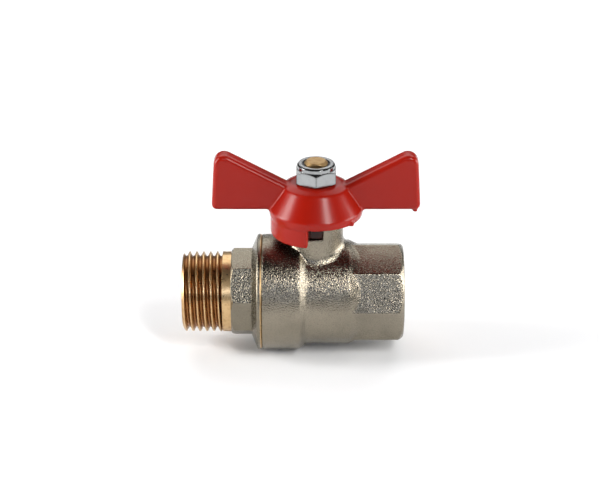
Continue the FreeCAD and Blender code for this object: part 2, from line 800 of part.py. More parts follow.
def make_wings(body):
    """Both finger wings as one plate, with rounded corners and edges."""
    plate = pad(body, outline(body, "wings", "XZ_Plane", [
        (-wing_tip, wing_bottom),
        (wing_tip, wing_bottom),
        (wing_top_reach, wing_top),
        (wing_root_reach, wing_root),
        (-wing_root_reach, wing_root),
        (-wing_top_reach, wing_top),
    ]), wing_thickness, both_ways=True)
    top_corners = fillet(body, plate, "wing_top_corners", wing_top_corner, plate_corner(wing_top))
    tip_corners = fillet(body, top_corners, "wing_tip_corners", wing_tip_corner, plate_corner(wing_bottom))
    face = wing_thickness.value / 2

    def on_outline(edge):
        return abs(abs(edge_middle(edge).y) - face) < NEAR

    fillet(body, tip_corners, "wing_edges", wing_edge_round, on_outline)


def make_handle():
    """Butterfly handle: conical hub over the stem, two wings, a skirt and the inner stop wall."""
    body = new_body("wing_handle")
    make_wings(body)
    dome = outline(body, "dome", "XZ_Plane", [
        (ZERO, dome_top),
        (dome_top_radius, dome_top),
        (dome_shoulder_radius, dome_shoulder),
        (brim_radius, brim),
        (rim_radius, rim_bottom),
        (ZERO, rim_bottom),
    ])
    dome_solid = revolve(body, dome, "V_Axis")
    rings = [(dome_top_radius, dome_top), (dome_shoulder_radius, dome_shoulder)]

    def on_a_ring(edge):
        middle = edge_middle(edge)
        radius = math.hypot(middle.x, middle.y)
        return any(math.hypot(radius - ring.value, middle.z - height.value) < NEAR for ring, height in rings)

    fillet(body, dome_solid, "dome_rings", dome_edge_round, on_a_ring)
    hollow = outline(body, "hollow", "XZ_Plane", [
        (ZERO, rim_bottom - SWEEP_PAST),
        (hollow_radius, rim_bottom - SWEEP_PAST),
        (hollow_radius, brim - dome_edge_round),
        (crown_radius, dome_top - dome_crown),
        (hub_radius, dome_top - dome_crown),
        (hub_radius, hub_foot),
        (ZERO, hub_foot),
    ])
    groove(body, hollow, "V_Axis")
    add_skirt_and_stops(body)
    cut_handle_hole(body)
    return body


def add_skirt_and_stops(body):
    """The skirt round the back left, a rib at each of its ends, and the wall that meets the pillar."""
    lip = rim_bottom + join_overlap
    section = ring_corners(hollow_radius, skirt_radius, skirt_bottom, lip)
    skirt = outline(body, "skirt", "XZ_Plane", section, turn=skirt_start_angle)
    revolve(body, skirt, "V_Axis", skirt_angle)
    wall_section = ring_corners(stem_radius + stop_wall_gap, boss_radius, stop_wall_bottom, hub_foot)
    wall = outline(body, "stop_wall", "XZ_Plane", wall_section, turn=stop_wall_start_angle)
    revolve(body, wall, "V_Axis", stop_wall_angle)
    rib_inner = boss_radius - join_overlap
    rib_section = ring_corners(rib_inner, hollow_radius + join_overlap, stop_wall_bottom, brim)
    last_rib = skirt_start_angle + skirt_angle - skirt_rib_angle
    for name, angle in (("first_rib", stop_wall_start_angle), ("last_rib", last_rib)):
        rib = outline(body, name, "XZ_Plane", rib_section, turn=angle)
        revolve(body, rib, "V_Axis", skirt_rib_angle)


def cut_handle_hole(body):
    """The flatted hole that turns the stem."""
    hole_radius = stem_end_radius + handle_hole_gap
    half_flats = stem_flat + handle_hole_gap
    sketch = new_sketch(body, "stem_hole", "XY_Plane", hub_foot - SWEEP_PAST)
    half_chord = math.sqrt(hole_radius.value ** 2 - half_flats.value ** 2)
    angle = math.atan2(half_flats.value, half_chord)
    round_part = Part.Circle(vector(0, 0, 0), vector(0, 0, 1), hole_radius.value)
    left, right = vector(-half_chord, 0, 0), vector(half_chord, 0, 0)
    up = vector(0, half_flats.value, 0)
    sketch.addGeometry(Part.ArcOfCircle(round_part, -angle, angle), False)
    sketch.addGeometry(Part.LineSegment(right + up, left + up), False)
    sketch.addGeometry(Part.ArcOfCircle(round_part, math.pi - angle, math.pi + angle), False)
    sketch.addGeometry(Part.LineSegment(left - up, right - up), False)
    for first, second in ((0, 1), (1, 2), (2, 3), (3, 0)):
        sketch.addConstraint(Sketcher.Constraint("Coincident", first, 2, second, 1))
    for arc in (0, 2):
        sketch.addConstraint(Sketcher.Constraint("Coincident", arc, 3, -1, 1))
    for line in (1, 3):
        sketch.addConstraint(Sketcher.Constraint("Horizontal", line))
    hold(sketch, "Radius", "radius", hole_radius, 0)
    hold(sketch, "DistanceY", "top_flat", half_flats, -1, 1, 1, 1)
    hold(sketch, "DistanceY", "bottom_flat", -half_flats, -1, 1, 3, 1)
    sketch.addConstraint(Sketcher.Constraint("Equal", 0, 2))
    pocket(body, sketch, dome_top - hub_foot + SWEEP_PAST * 2)


def make_lock_nut():
    """Hexagon nut with a rolled collar that keeps a nylon ring."""
    body = new_body("lock_nut")
    hexagon = polygon_corners(6, nut_corner_radius, as_size(90))
    pad(body, outline(body, "hexagon", "XY_Plane", hexagon, height=dome_top), nut_hex_height)
    for name, face, inward in (("lower_corners", dome_top, 1), ("upper_corners", nut_hex_top, -1)):
        corner_cut = outline(body, name, "XZ_Plane", [
            (nut_flat_radius, face),
            (nut_corner_radius, face + nut_chamfer * inward),
            (nut_corner_radius + SWEEP_PAST, face + nut_chamfer * inward),
            (nut_corner_radius + SWEEP_PAST, face - nut_chamfer * inward),
            (nut_flat_radius, face - nut_chamfer * inward),
        ])
        groove(body, corner_cut, "V_Axis")
    collar = outline(body, "collar", "XZ_Plane", [
        (stem_end_radius, nut_hex_top - nut_chamfer),
        (nut_collar_radius, nut_hex_top - nut_chamfer),
        (nut_collar_radius, nut_insert_top),
        (nut_collar_radius - nut_collar_lip, nut_top),
        (nut_lip_radius, nut_top),
        (stem_end_radius, nut_top),
    ])
    revolve(body, collar, "V_Axis")
    bore = outline(body, "nut_bore", "XZ_Plane", [
        (ZERO, dome_top - SWEEP_PAST),
        (nut_bore_radius, dome_top - SWEEP_PAST),
        (nut_bore_radius, nut_insert_bottom),
        (nut_insert_pocket_radius, nut_insert_bottom),
        (nut_insert_pocket_radius, nut_insert_top),
        (nut_lip_radius, nut_insert_top),
        (nut_lip_radius, nut_top + SWEEP_PAST),
        (ZERO, nut_top + SWEEP_PAST),
    ])
    groove(body, bore, "V_Axis")
    return body


def make_all_pieces():
    """Build every piece of the valve, in the order in which it would go together."""
    return [
        make_valve_body(),
        make_seat("outlet_seat", seat_front),
        make_ball(),
        make_seat("inlet_seat", -seat_back),
        make_end_connector(),
        make_stem(),
        make_ring("thrust_washer", stem_hole_radius, stem_ledge_radius, stem_ledge_top, thrust_washer_top),
        make_ring("packing_ring_lower", stem_hole_radius, gland_radius, gland_floor, packing_middle),
        make_ring("packing_ring_upper", stem_hole_radius, gland_radius, packing_middle, packing_top),
        make_gland_nut(),
        make_handle(),
        make_lock_nut(),
        make_ring("lock_nut_insert", nut_bore_radius, nut_insert_radius, nut_insert_bottom, nut_insert_top),
    ]


def check_document():
    """Stop if any object of the document failed."""
    DOCUMENT.recompute()
    for item in DOCUMENT.Objects:
        if {"Invalid", "Error"} & set(item.State):
            raise RuntimeError(f"{item.Label}: {item.State}")


def write_pieces(pieces):
    """Check every piece and write it to a STEP file of its own name."""
    for piece in pieces:
        if piece.Shape.isNull() or not piece.Shape.isValid():
            raise RuntimeError(f"{piece.Label} has no valid shape")
    os.makedirs(OUTPUT_FOLDER, exist_ok=True)
    for piece in pieces:
        piece.Shape.exportStep(os.path.join(OUTPUT_FOLDER, f"{piece.Label}.step"))


all_pieces = make_all_pieces()
check_document()
write_pieces(all_pieces)
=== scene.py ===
"""Looks for a half-inch ball valve: a nickel-plated forging, a bare brass thread and a red butterfly handle."""

import logging
import math
from dataclasses import dataclass
from enum import Enum
from typing import Callable, Optional

import bpy
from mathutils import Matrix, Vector


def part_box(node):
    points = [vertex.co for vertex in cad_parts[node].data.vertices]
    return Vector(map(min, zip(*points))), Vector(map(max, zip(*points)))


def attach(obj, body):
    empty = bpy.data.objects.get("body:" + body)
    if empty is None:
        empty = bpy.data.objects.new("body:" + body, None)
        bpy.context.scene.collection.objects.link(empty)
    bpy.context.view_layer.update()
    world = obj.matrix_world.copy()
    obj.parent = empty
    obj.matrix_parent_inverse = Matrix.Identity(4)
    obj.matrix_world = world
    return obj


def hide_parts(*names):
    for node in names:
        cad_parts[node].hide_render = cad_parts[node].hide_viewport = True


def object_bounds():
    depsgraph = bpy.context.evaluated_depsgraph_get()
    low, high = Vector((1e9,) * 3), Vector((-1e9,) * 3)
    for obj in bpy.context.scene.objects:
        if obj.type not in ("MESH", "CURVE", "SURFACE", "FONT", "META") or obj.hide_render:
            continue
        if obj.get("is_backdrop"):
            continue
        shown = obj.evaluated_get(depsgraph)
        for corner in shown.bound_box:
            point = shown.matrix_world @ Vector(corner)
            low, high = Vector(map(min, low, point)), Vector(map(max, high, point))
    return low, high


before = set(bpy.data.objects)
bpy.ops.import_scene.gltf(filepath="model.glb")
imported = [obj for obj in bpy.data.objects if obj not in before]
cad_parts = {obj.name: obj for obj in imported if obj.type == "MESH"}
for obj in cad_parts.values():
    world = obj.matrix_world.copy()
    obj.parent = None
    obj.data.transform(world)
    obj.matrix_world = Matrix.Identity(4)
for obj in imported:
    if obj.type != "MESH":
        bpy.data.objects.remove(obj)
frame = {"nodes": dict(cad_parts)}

MM = 0.001

Colour = tuple[float, float, float, float]
Point = tuple[float, float, float]

log = logging.getLogger("ball_valve")


class Body(Enum):
    """The bodies that the new pieces ride on."""

    VALVE = "valve"
    HANDLE = "handle"


class Maths(Enum):
    """What a maths node does with its two values."""

    ADD = "ADD"
    SUBTRACT = "SUBTRACT"
    MULTIPLY = "MULTIPLY"
    POWER = "POWER"
    ABSOLUTE = "ABSOLUTE"
    ROOT = "SQRT"
    MORE_THAN = "GREATER_THAN"
    LESS_THAN = "LESS_THAN"


def srgb(red: int, green: int, blue: int) -> Colour:
    """Turn a colour from 0 to 255 on a screen into linear light.

    Args:
        red: Red as a screen shows it.
        green: Green as a screen shows it.
        blue: Blue as a screen shows it.

    Returns:
        The colour with an alpha of one.
    """
    def linear(value: int) -> float:
        """Turn one of the three into linear light."""
        share = value / 255
        return share / 12.92 if share <= 0.04045 else ((share + 0.055) / 1.055) ** 2.4

    return (linear(red), linear(green), linear(blue), 1.0)


class NodeSheet:
    """A material's node tree, with short ways to add what the finishes share."""

    def __init__(self, name: str) -> None:
        """Start an empty material.

        Args:
            name: Its name.
        """
        self.material = bpy.data.materials.new(name)
        self.material.use_nodes = True
        self.tree = self.material.node_tree
        self.tree.nodes.clear()
        self.output = self.tree.nodes.new("ShaderNodeOutputMaterial")
        self.place = self.add("ShaderNodeTexCoord").outputs["Object"]

    def add(self, kind: str, **settings: object) -> bpy.types.Node:
        """Add a node.

        Args:
            kind: The node's type.
            **settings: Properties of the node, set by name.

        Returns:
            The new node.
        """
        node = self.tree.nodes.new(kind)
        for name, value in settings.items():
            setattr(node, name, value)
        return node

    def join(self, source: bpy.types.NodeSocket, node: bpy.types.Node, socket: object) -> None:
        """Link an output to one of a node's inputs."""
        self.tree.links.new(source, node.inputs[socket])

    def feed(self, node: bpy.types.Node, socket: object, value: object) -> None:
        """Give an input its value.

        Args:
            node: The node.
            socket: The input's name or number.
            value: An output, which is linked, or a constant, which is set.
        """
        if isinstance(value, bpy.types.NodeSocket):
            self.join(value, node, socket)
        else:
            node.inputs[socket].default_value = value

    def noise(self, grains_per_mm: float, detail: float = 2.0, roughness: float = 0.5,
              stretch: Point = (1.0, 1.0, 1.0)) -> bpy.types.NodeSocket:
        """Make a noise pattern fixed to the piece.

        Args:
            grains_per_mm: How many grains fit in a millimetre.
            detail: How many finer layers it has.
            roughness: How strong the finer layers are.
            stretch: How much faster it changes along each axis.

        Returns:
            A value from 0 to 1.
        """
        mapping = self.add("ShaderNodeMapping")
        mapping.inputs["Scale"].default_value = stretch
        self.join(self.place, mapping, "Vector")
        noise = self.add("ShaderNodeTexNoise")
        noise.inputs["Scale"].default_value = grains_per_mm / MM
        noise.inputs["Detail"].default_value = detail
        noise.inputs["Roughness"].default_value = roughness
        self.join(mapping.outputs["Vector"], noise, "Vector")
        return noise.outputs["Fac"]

    def grains(self, grains_per_mm: float) -> bpy.types.NodeSocket:
        """Make a pattern of round pits, as blasting grit leaves them.

        Args:
            grains_per_mm: How many pits fit in a millimetre.

        Returns:
            A value that is lowest in the middle of each pit.
        """
        cells = self.add("ShaderNodeTexVoronoi", feature="SMOOTH_F1")
        cells.inputs["Scale"].default_value = grains_per_mm / MM
        cells.inputs["Smoothness"].default_value = 0.35
        self.join(self.place, cells, "Vector")
        return cells.outputs["Distance"]

    def spread(self, source: bpy.types.NodeSocket, low: float, high: float,
               bottom: float = 0.0, top: float = 1.0) -> bpy.types.NodeSocket:
        """Map one range onto another, and clamp it.

        Args:
            source: The value.
            low: The value that becomes the bottom.
            high: The value that becomes the top.
            bottom: What the low value becomes.
            top: What the high value becomes.

        Returns:
            The mapped value.
        """
        node = self.add("ShaderNodeMapRange")
        self.join(source, node, "Value")
        for name, value in (("From Min", low), ("From Max", high), ("To Min", bottom), ("To Max", top)):
            node.inputs[name].default_value = value
        return node.outputs["Result"]

    def maths(self, operation: Maths, first: object, second: object = 0.0) -> bpy.types.NodeSocket:
        """Do arithmetic on two values.

        Args:
            operation: What is done.
            first: The first value, a number or an output.
            second: The second, which is left out where one is enough.

        Returns:
            The result.
        """
        node = self.add("ShaderNodeMath", operation=operation.value)
        self.feed(node, 0, first)
        self.feed(node, 1, second)
        return node.outputs[0]

    def blend(self, share: object, first: object, second: object) -> bpy.types.NodeSocket:
        """Lay a second colour over a first.

        Args:
            share: How much of the second is used, from 0 to 1.
            first: The first colour, or an output that gives it.
            second: The second colour, or an output that gives it.

        Returns:
            The mixed colour.
        """
        node = self.add("ShaderNodeMix", data_type="RGBA", blend_type="MIX")
        self.feed(node, 0, share)
        self.feed(node, 6, first)
        self.feed(node, 7, second)
        return node.outputs[2]

    def axis(self, name: str) -> bpy.types.NodeSocket:
        """Read one of the piece's own coordinates.

        Args:
            name: X, Y or Z.

        Returns:
            The coordinate, in metres.
        """
        split = self.add("ShaderNodeSeparateXYZ")
        self.join(self.place, split, 0)
        return split.outputs[name]

    def radius(self, first: str, second: str) -> bpy.types.NodeSocket:
        """Measure how far the surface is from one of the piece's axes.

        Args:
            first: One of the two axes that are square to it.
            second: The other of them.

        Returns:
            The distance, in metres.
        """
        squares = [self.maths(Maths.POWER, self.maths(Maths.ABSOLUTE, self.axis(name)), 2.0)
                   for name in (first, second)]
        return self.maths(Maths.ROOT, self.maths(Maths.ADD, *squares))

    def softened(self, millimetres: float) -> bpy.types.NodeSocket:
        """Round the piece's sharp edges in the shading alone.

        Args:
            millimetres: The radius.

        Returns:
            The rounded normal.
        """
        edge = self.add("ShaderNodeBevel", samples=6)
        edge.inputs["Radius"].default_value = millimetres * MM
        return edge.outputs["Normal"]

    def near_edge(self, millimetres: float) -> bpy.types.NodeSocket:
        """Find the piece's sharp edges.

        Args:
            millimetres: How far from an edge counts as near it.

        Returns:
            A share that rises from 0 on a flat to 1 at a sharp edge.
        """
        turn = self.add("ShaderNodeVectorMath", operation="DOT_PRODUCT")
        self.join(self.softened(millimetres), turn, 0)
        self.join(self.add("ShaderNodeNewGeometry").outputs["True Normal"], turn, 1)
        return self.spread(turn.outputs["Value"], 1.0, 0.95)

    def bump(self, height: bpy.types.NodeSocket, millimetres: float, strength: float,
             normal: bpy.types.NodeSocket) -> bpy.types.NodeSocket:
        """Raise the surface by a pattern.

        Args:
            height: The pattern, from 0 to 1.
            millimetres: How high its top stands.
            strength: How much of the effect is used.
            normal: The normal to start from.

        Returns:
            The changed normal.
        """
        node = self.add("ShaderNodeBump")
        node.inputs["Distance"].default_value = millimetres * MM
        node.inputs["Strength"].default_value = strength
        self.join(height, node, "Height")
        self.join(normal, node, "Normal")
        return node.outputs["Normal"]

    def surface(self, colour: object, metallic: float, roughness: object,
                normal: Optional[bpy.types.NodeSocket] = None, **constants: object) -> bpy.types.Node:
        """Add the surface shader.

        Args:
            colour: A colour, or an output that gives one.
            metallic: 1 for bare metal and 0 for anything else.
            roughness: A number, or an output that gives one.
            normal: The changed normal, if any.
            **constants: Further sockets, with underscores for spaces.

        Returns:
            The shader's node.
        """
        shader = self.add("ShaderNodeBsdfPrincipled")
        self.feed(shader, "Base Color", colour)
        shader.inputs["Metallic"].default_value = metallic
        self.feed(shader, "Roughness", roughness)
        if normal is not None:
            self.join(normal, shader, "Normal")
        for name, value in constants.items():
            shader.inputs[name.replace("_", " ")].default_value = value
        return shader

    def either(self, share: bpy.types.NodeSocket, first: bpy.types.Node, second: bpy.types.Node) -> bpy.types.Node:
        """Choose between two shaders.

        Args:
            share: 0 where the first is used, and 1 where the second is.
            first: The first shader.
            second: The second shader.

        Returns:
            The mixed shader.
        """
        mix = self.add("ShaderNodeMixShader")
        self.join(share, mix, 0)
        self.join(first.outputs[0], mix, 1)
        self.join(second.outputs[0], mix, 2)
        return mix

    def finish(self, shader: bpy.types.Node) -> bpy.types.Material:
        """Send a shader to the output, and return the material."""
        self.join(shader.outputs[0], self.output, "Surface")
        return self.material


@dataclass(frozen=True)
class BlastedNickel:
    """Nickel plate over a sand-blasted forging: a grey-gold metal with glinting grains.

    Attributes:
        colour: The plate.
        hollow_colour: The plate in its pits and stains.
        stain_share: How much of the hollow colour a stain has.
        pit_share: How much of it a pit has.
        grains_per_mm: How many pits fit in a millimetre.
        grain_height: How deep the pits are, in millimetres.
        grain_strength: How much of the pits' effect is used.
        stains_per_mm: How many stains fit in a millimetre.
        roughness: The plate's mean roughness.
        roughness_spread: How far it goes either side of that.
        edge_round: The radius that sharp edges are shaded with, in millimetres.
    """

    colour: Colour = srgb(145, 137, 122)
    hollow_colour: Colour = srgb(112, 105, 92)
    stain_share: float = 0.35
    pit_share: float = 0.5
    grains_per_mm: float = 3.6
    grain_height: float = 0.11
    grain_strength: float = 0.9
    stains_per_mm: float = 0.18
    roughness: float = 0.23
    roughness_spread: float = 0.06
    edge_round: float = 0.2

    def shader(self, sheet: NodeSheet) -> bpy.types.Node:
        """Build the plated metal's shader.

        Args:
            sheet: The sheet that it goes on.

        Returns:
            The shader's node.
        """
        pits = sheet.grains(self.grains_per_mm)
        fine = sheet.noise(self.grains_per_mm, detail=1.0)
        cloud = sheet.noise(self.stains_per_mm)
        grit = sheet.maths(Maths.ADD, sheet.maths(Maths.MULTIPLY, pits, 0.6),
                           sheet.maths(Maths.MULTIPLY, fine, 0.4))
        stains = sheet.spread(cloud, 0.4, 0.75, top=self.stain_share)
        hollows = sheet.spread(fine, 0.5, 0.32, top=self.pit_share)
        stained = sheet.blend(stains, self.colour, self.hollow_colour)
        colour = sheet.blend(hollows, stained, self.hollow_colour)
        roughness = sheet.spread(fine, 0.3, 0.7, self.roughness - self.roughness_spread,
                                 self.roughness + self.roughness_spread)
        normal = sheet.bump(grit, self.grain_height, self.grain_strength, sheet.softened(self.edge_round))
        return sheet.surface(colour, 1.0, roughness, normal)


@dataclass(frozen=True)
class TurnedBrass:
    """Bare brass off the lathe: warm, with fine rings, a little tarnish, and painted shade in the roots of a
    thread.

    Attributes:
        name: The material's name, where it is one by itself.
        colour: The clean brass.
        tarnish_and_shade: The brass in stains, and the painted shade in the roots of a thread.
        stain_share: How much tarnish a stain has.
        rings_along: How fast the lathe's rings change along each axis.
        roughness: The clean brass's roughness.
        stain_roughness: How much rougher a stain is.
        root_radius: The radius of the thread's roots about the pipe, or 0 for no thread.
        crest_radius: The radius of the thread's crests, or 0 for no thread.
        root_shade: How much painted shade the thread's roots have.
    """

    name: str = "turned_brass"
    colour: Colour = srgb(211, 177, 130)
    tarnish_and_shade: Colour = srgb(134, 84, 40)
    stain_share: float = 0.5
    rings_along: Point = (1.0, 0.05, 0.05)
    roughness: float = 0.25
    stain_roughness: float = 0.16
    root_radius: float = 0.0
    crest_radius: float = 0.0
    root_shade: float = 0.9

    def shader(self, sheet: NodeSheet) -> bpy.types.Node:
        """Build the turned metal's shader.

        Args:
            sheet: The sheet that it goes on.

        Returns:
            The shader's node.
        """
        rings = sheet.noise(9.0, stretch=self.rings_along)
        stain = sheet.noise(0.9, detail=4.0, roughness=0.6)
        colour = sheet.blend(sheet.spread(stain, 0.5, 0.75, top=self.stain_share), self.colour, self.tarnish_and_shade)
        # Painted shade: a thread is darkened towards its roots, by the distance from the pipe's axis.
        if self.crest_radius > 0.0:
            depth = sheet.spread(sheet.radius("Y", "Z"), self.root_radius, self.crest_radius,
                                 bottom=self.root_shade, top=0.0)
            colour = sheet.blend(depth, colour, self.tarnish_and_shade)
        roughness = sheet.spread(stain, 0.3, 0.8, self.roughness, self.roughness + self.stain_roughness)
        normal = sheet.bump(rings, 0.012, 0.5, sheet.softened(0.06))
        return sheet.surface(colour, 1.0, roughness, normal)

    def build(self) -> bpy.types.Material:
        """Return the finished material."""
        sheet = NodeSheet(self.name)
        return sheet.finish(self.shader(sheet))


@dataclass(frozen=True)
class ConnectorFinish:
    """The end piece: nickel plate on its neck and flange, bare brass on its thread, bore and joint edge.

    Attributes:
        plated_from: Where along the pipe the plate starts, behind the thread.
        plated_to: Where the plate ends, just before the joint.
        plated_radius: The plate is further than this from the pipe's axis.
        edge_wobble: How far the plate's two edges wander.
        nickel: The plate.
        brass: The bare metal.
        name: The material's name.
    """

    plated_from: float
    plated_to: float
    plated_radius: float = 9.6 * MM
    edge_wobble: float = 0.12 * MM
    nickel: BlastedNickel = BlastedNickel(colour=srgb(134, 127, 112))
    # The thread is given painted shade towards its roots.
    brass: TurnedBrass = TurnedBrass(root_radius=9.3 * MM, crest_radius=10.3 * MM)
    name: str = "connector_finish"

    def build(self) -> bpy.types.Material:
        """Build the material.

        Returns:
            The finished material.
        """
        sheet = NodeSheet(self.name)
        wobble = sheet.maths(Maths.MULTIPLY, sheet.maths(Maths.SUBTRACT, sheet.noise(0.8), 0.5), self.edge_wobble)
        along = sheet.maths(Maths.ADD, sheet.axis("X"), wobble)
        after = sheet.maths(Maths.MORE_THAN, along, self.plated_from)
        before = sheet.maths(Maths.LESS_THAN, along, self.plated_to)
        outside = sheet.maths(Maths.MORE_THAN, sheet.radius("Y", "Z"), self.plated_radius)
        plated = sheet.maths(Maths.MULTIPLY, sheet.maths(Maths.MULTIPLY, after, before), outside)
        return sheet.finish(sheet.either(plated, self.brass.shader(sheet), self.nickel.shader(sheet)))


@dataclass(frozen=True)
class BodyFinish:
    """The forging: nickel plate outside, and bare turned brass where it was bored and tapped.

    Attributes:
        bare_radius: The brass is bare nearer than this to the pipe's axis.
        nickel: The plate.
        brass: The bare metal.
        name: The material's name.
    """

    bare_radius: float = 11.3 * MM
    nickel: BlastedNickel = BlastedNickel()
    # The tapped thread is given painted shade towards its roots too.
    brass: TurnedBrass = TurnedBrass(root_radius=10.4 * MM, crest_radius=9.5 * MM, root_shade=0.6)
    name: str = "body_finish"

    def build(self) -> bpy.types.Material:
        """Build the material.

        Returns:
            The finished material.
        """
        sheet = NodeSheet(self.name)
        outside = sheet.maths(Maths.MORE_THAN, sheet.radius("Y", "Z"), self.bare_radius)
        return sheet.finish(sheet.either(outside, self.brass.shader(sheet), self.nickel.shader(sheet)))


@dataclass(frozen=True)
class PowderCoat:
    """Glossy red powder coat over a casting, a little deeper and duller in soft patches, with painted shade inside
    the handle.

    Attributes:
        name: The material's name.
        colour: The coat.
        deep: The coat where it is deepest.
        painted_inside_shade: The painted shade inside the handle, under its rim and near the stem.
        roughness: The coat's lowest roughness.
        dull: How much rougher its dullest patches are.
        gloss: The strength of its gloss.
        inner_radius: The inside is nearer than this to the stem's axis.
        inner_top: The inside is lower than this.
        inner_fade: How far the coat takes to fade into the painted shade.
    """

    name: str = "red_powder_coat"
    colour: Colour = srgb(154, 24, 10)
    deep: Colour = srgb(145, 22, 9)
    painted_inside_shade: Colour = srgb(46, 20, 16)
    roughness: float = 0.2
    dull: float = 0.1
    gloss: float = 0.23
    inner_radius: float = 10.2 * MM
    inner_top: float = 25.2 * MM
    inner_fade: float = 0.4 * MM

    def build(self) -> bpy.types.Material:
        """Build the material.

        Returns:
            The finished material.
        """
        sheet = NodeSheet(self.name)
        cloud = sheet.noise(0.12)
        colour = sheet.blend(cloud, self.colour, self.deep)
        # Painted shade: the inside, near the stem's axis and under the rim, is darkened to a dark red-brown.
        within = sheet.spread(sheet.radius("X", "Y"), self.inner_radius, self.inner_radius - self.inner_fade)
        below = sheet.spread(sheet.axis("Z"), self.inner_top, self.inner_top - self.inner_fade)
        colour = sheet.blend(sheet.maths(Maths.MULTIPLY, within, below), colour, self.painted_inside_shade)
        roughness = sheet.spread(cloud, 0.0, 1.0, self.roughness, self.roughness + self.dull)
        return sheet.finish(sheet.surface(colour, 0.0, roughness, Specular_IOR_Level=self.gloss))


@dataclass(frozen=True)
class BrightZinc:
    """Bright zinc plate on the nut: a cold mirror with slight waves, and painted shade along its edges.

    Attributes:
        name: The material's name.
        colour: The plate.
        cloudy: The plate where it is clouded.
        cloud_share: How much of the clouds' colour is used.
        edge: The painted shade along the plate's edges.
        edge_shade_width: How wide the painted shade along an edge is, in millimetres.
        edge_shade_share: How much of the painted shade's colour is used.
        roughness: The plate's lowest roughness.
        cloud_roughness: How much rougher its clouds are.
    """

    name: str = "bright_zinc"
    colour: Colour = srgb(164, 166, 167)
    cloudy: Colour = srgb(140, 142, 143)
    cloud_share: float = 0.5
    edge: Colour = srgb(84, 82, 80)
    edge_shade_width: float = 0.7
    edge_shade_share: float = 0.75
    roughness: float = 0.12
    cloud_roughness: float = 0.1

    def build(self) -> bpy.types.Material:
        """Build the material.

        Returns:
            The finished material.
        """
        sheet = NodeSheet(self.name)
        cloud = sheet.noise(0.5, detail=3.0)
        colour = sheet.blend(sheet.spread(cloud, 0.5, 0.8, top=self.cloud_share), self.colour, self.cloudy)
        # Painted shade: the plate is darkened near its sharp edges.
        wear_and_shade = sheet.maths(Maths.MULTIPLY, sheet.near_edge(self.edge_shade_width), self.edge_shade_share)
        colour = sheet.blend(wear_and_shade, colour, self.edge)
        roughness = sheet.spread(cloud, 0.3, 0.7, self.roughness, self.roughness + self.cloud_roughness)
        normal = sheet.bump(sheet.noise(0.7), 0.05, 0.4, sheet.softened(0.18))
        return sheet.finish(sheet.surface(colour, 1.0, roughness, normal))


@dataclass(frozen=True)
class PolishedChrome:
    """Hard chrome on the ball: near mirror, with faint wear rings about its turning axis.

    Attributes:
        name: The material's name.
        colour: The plate.
        wear_and_shade: The plate in a wear ring.
        worn_share: How much of the wear rings' colour is used.
        smoothest: The plate's lowest roughness.
        roughest: Its highest roughness.
    """

    name: str = "polished_chrome"
    colour: Colour = srgb(222, 223, 226)
    wear_and_shade: Colour = srgb(180, 182, 188)
    worn_share: float = 0.4
    smoothest: float = 0.06
    roughest: float = 0.16

    def build(self) -> bpy.types.Material:
        """Build the material.

        Returns:
            The finished material.
        """
        sheet = NodeSheet(self.name)
        rings = sheet.noise(6.0, detail=1.0, stretch=(0.05, 0.05, 1.0))
        roughness = sheet.spread(rings, 0.35, 0.7, self.smoothest, self.roughest)
        colour = sheet.blend(sheet.spread(rings, 0.5, 0.8, top=self.worn_share), self.colour, self.wear_and_shade)
        return sheet.finish(sheet.surface(colour, 1.0, roughness, sheet.softened(0.1)))


@dataclass(frozen=True)
class TurnedPlastic:
    """A turned seal plastic or nylon: waxy, with a fine grain and a soft sheen.

    Attributes:
        name: The material's name.
        colour: The plastic.
        shade: The plastic in its darker patches.
        roughness: How dull it is.
        glow: How much light goes into it and comes out again.
    """

    name: str
    colour: Colour
    shade: Colour
    roughness: float = 0.42
    glow: float = 0.05

    def build(self) -> bpy.types.Material:
        """Build the material.

        Returns:
            The finished material.
        """
        sheet = NodeSheet(self.name)
        cloud = sheet.noise(0.8, detail=3.0)
        colour = sheet.blend(sheet.spread(cloud, 0.35, 0.7), self.colour, self.shade)
        normal = sheet.bump(sheet.noise(5.0), 0.02, 0.4, sheet.softened(0.08))
        return sheet.finish(sheet.surface(colour, 0.0, self.roughness, normal, Subsurface_Weight=self.glow))


@dataclass(frozen=True)
class PaleFloor:
    """The plain pale sheet that the valve lies on.

    Attributes:
        name: The material's name.
        colour: The sheet.
        shade: The sheet in its very slightly darker patches.
        roughness: How dull it is.
    """

    name: str = "pale_floor"
    colour: Colour = srgb(250, 250, 250)
    shade: Colour = srgb(248, 248, 248)
    roughness: float = 0.9

    def build(self) -> bpy.types.Material:
        """Build the material.

        Returns:
            The finished material.
        """
        sheet = NodeSheet(self.name)
        colour = sheet.blend(sheet.spread(sheet.noise(0.02), 0.3, 0.7), self.colour, self.shade)
        return sheet.finish(sheet.surface(colour, 0.0, self.roughness))


def dress(node: bpy.types.Object, material: bpy.types.Material) -> None:
    """Give a piece its finish in every slot.

    Args:
        node: The piece.
        material: The finish.
    """
    if not node.material_slots:
        node.data.materials.append(material)
    for slot in node.material_slots:
        slot.material = material
    log.info("%s wears %s", node.name, material.name)


def take(*pieces: bpy.types.Object) -> None:
    """Select some pieces and no others.

    Args:
        *pieces: The pieces, of which the first becomes the active one.
    """
    bpy.ops.object.select_all(action="DESELECT")
    for piece in pieces:
        piece.select_set(True)
    bpy.context.view_layer.objects.active = pieces[0]


def merged_copy(node: bpy.types.Object, name: str) -> bpy.types.Object:
    """Copy a node's mesh into a new piece with its loose triangles merged.

    Args:
        node: The frame's node.
        name: The new piece's name.

    Returns:
        The new piece, at the origin.
    """
    piece = bpy.data.objects.new(name, node.data.copy())
    piece.data.name = name
    bpy.context.scene.collection.objects.link(piece)
    take(piece)
    bpy.ops.object.mode_set(mode="EDIT")
    bpy.ops.mesh.select_all(action="SELECT")
    bpy.ops.mesh.remove_doubles(threshold=0.001 * MM)
    bpy.ops.object.mode_set(mode="OBJECT")
    return piece


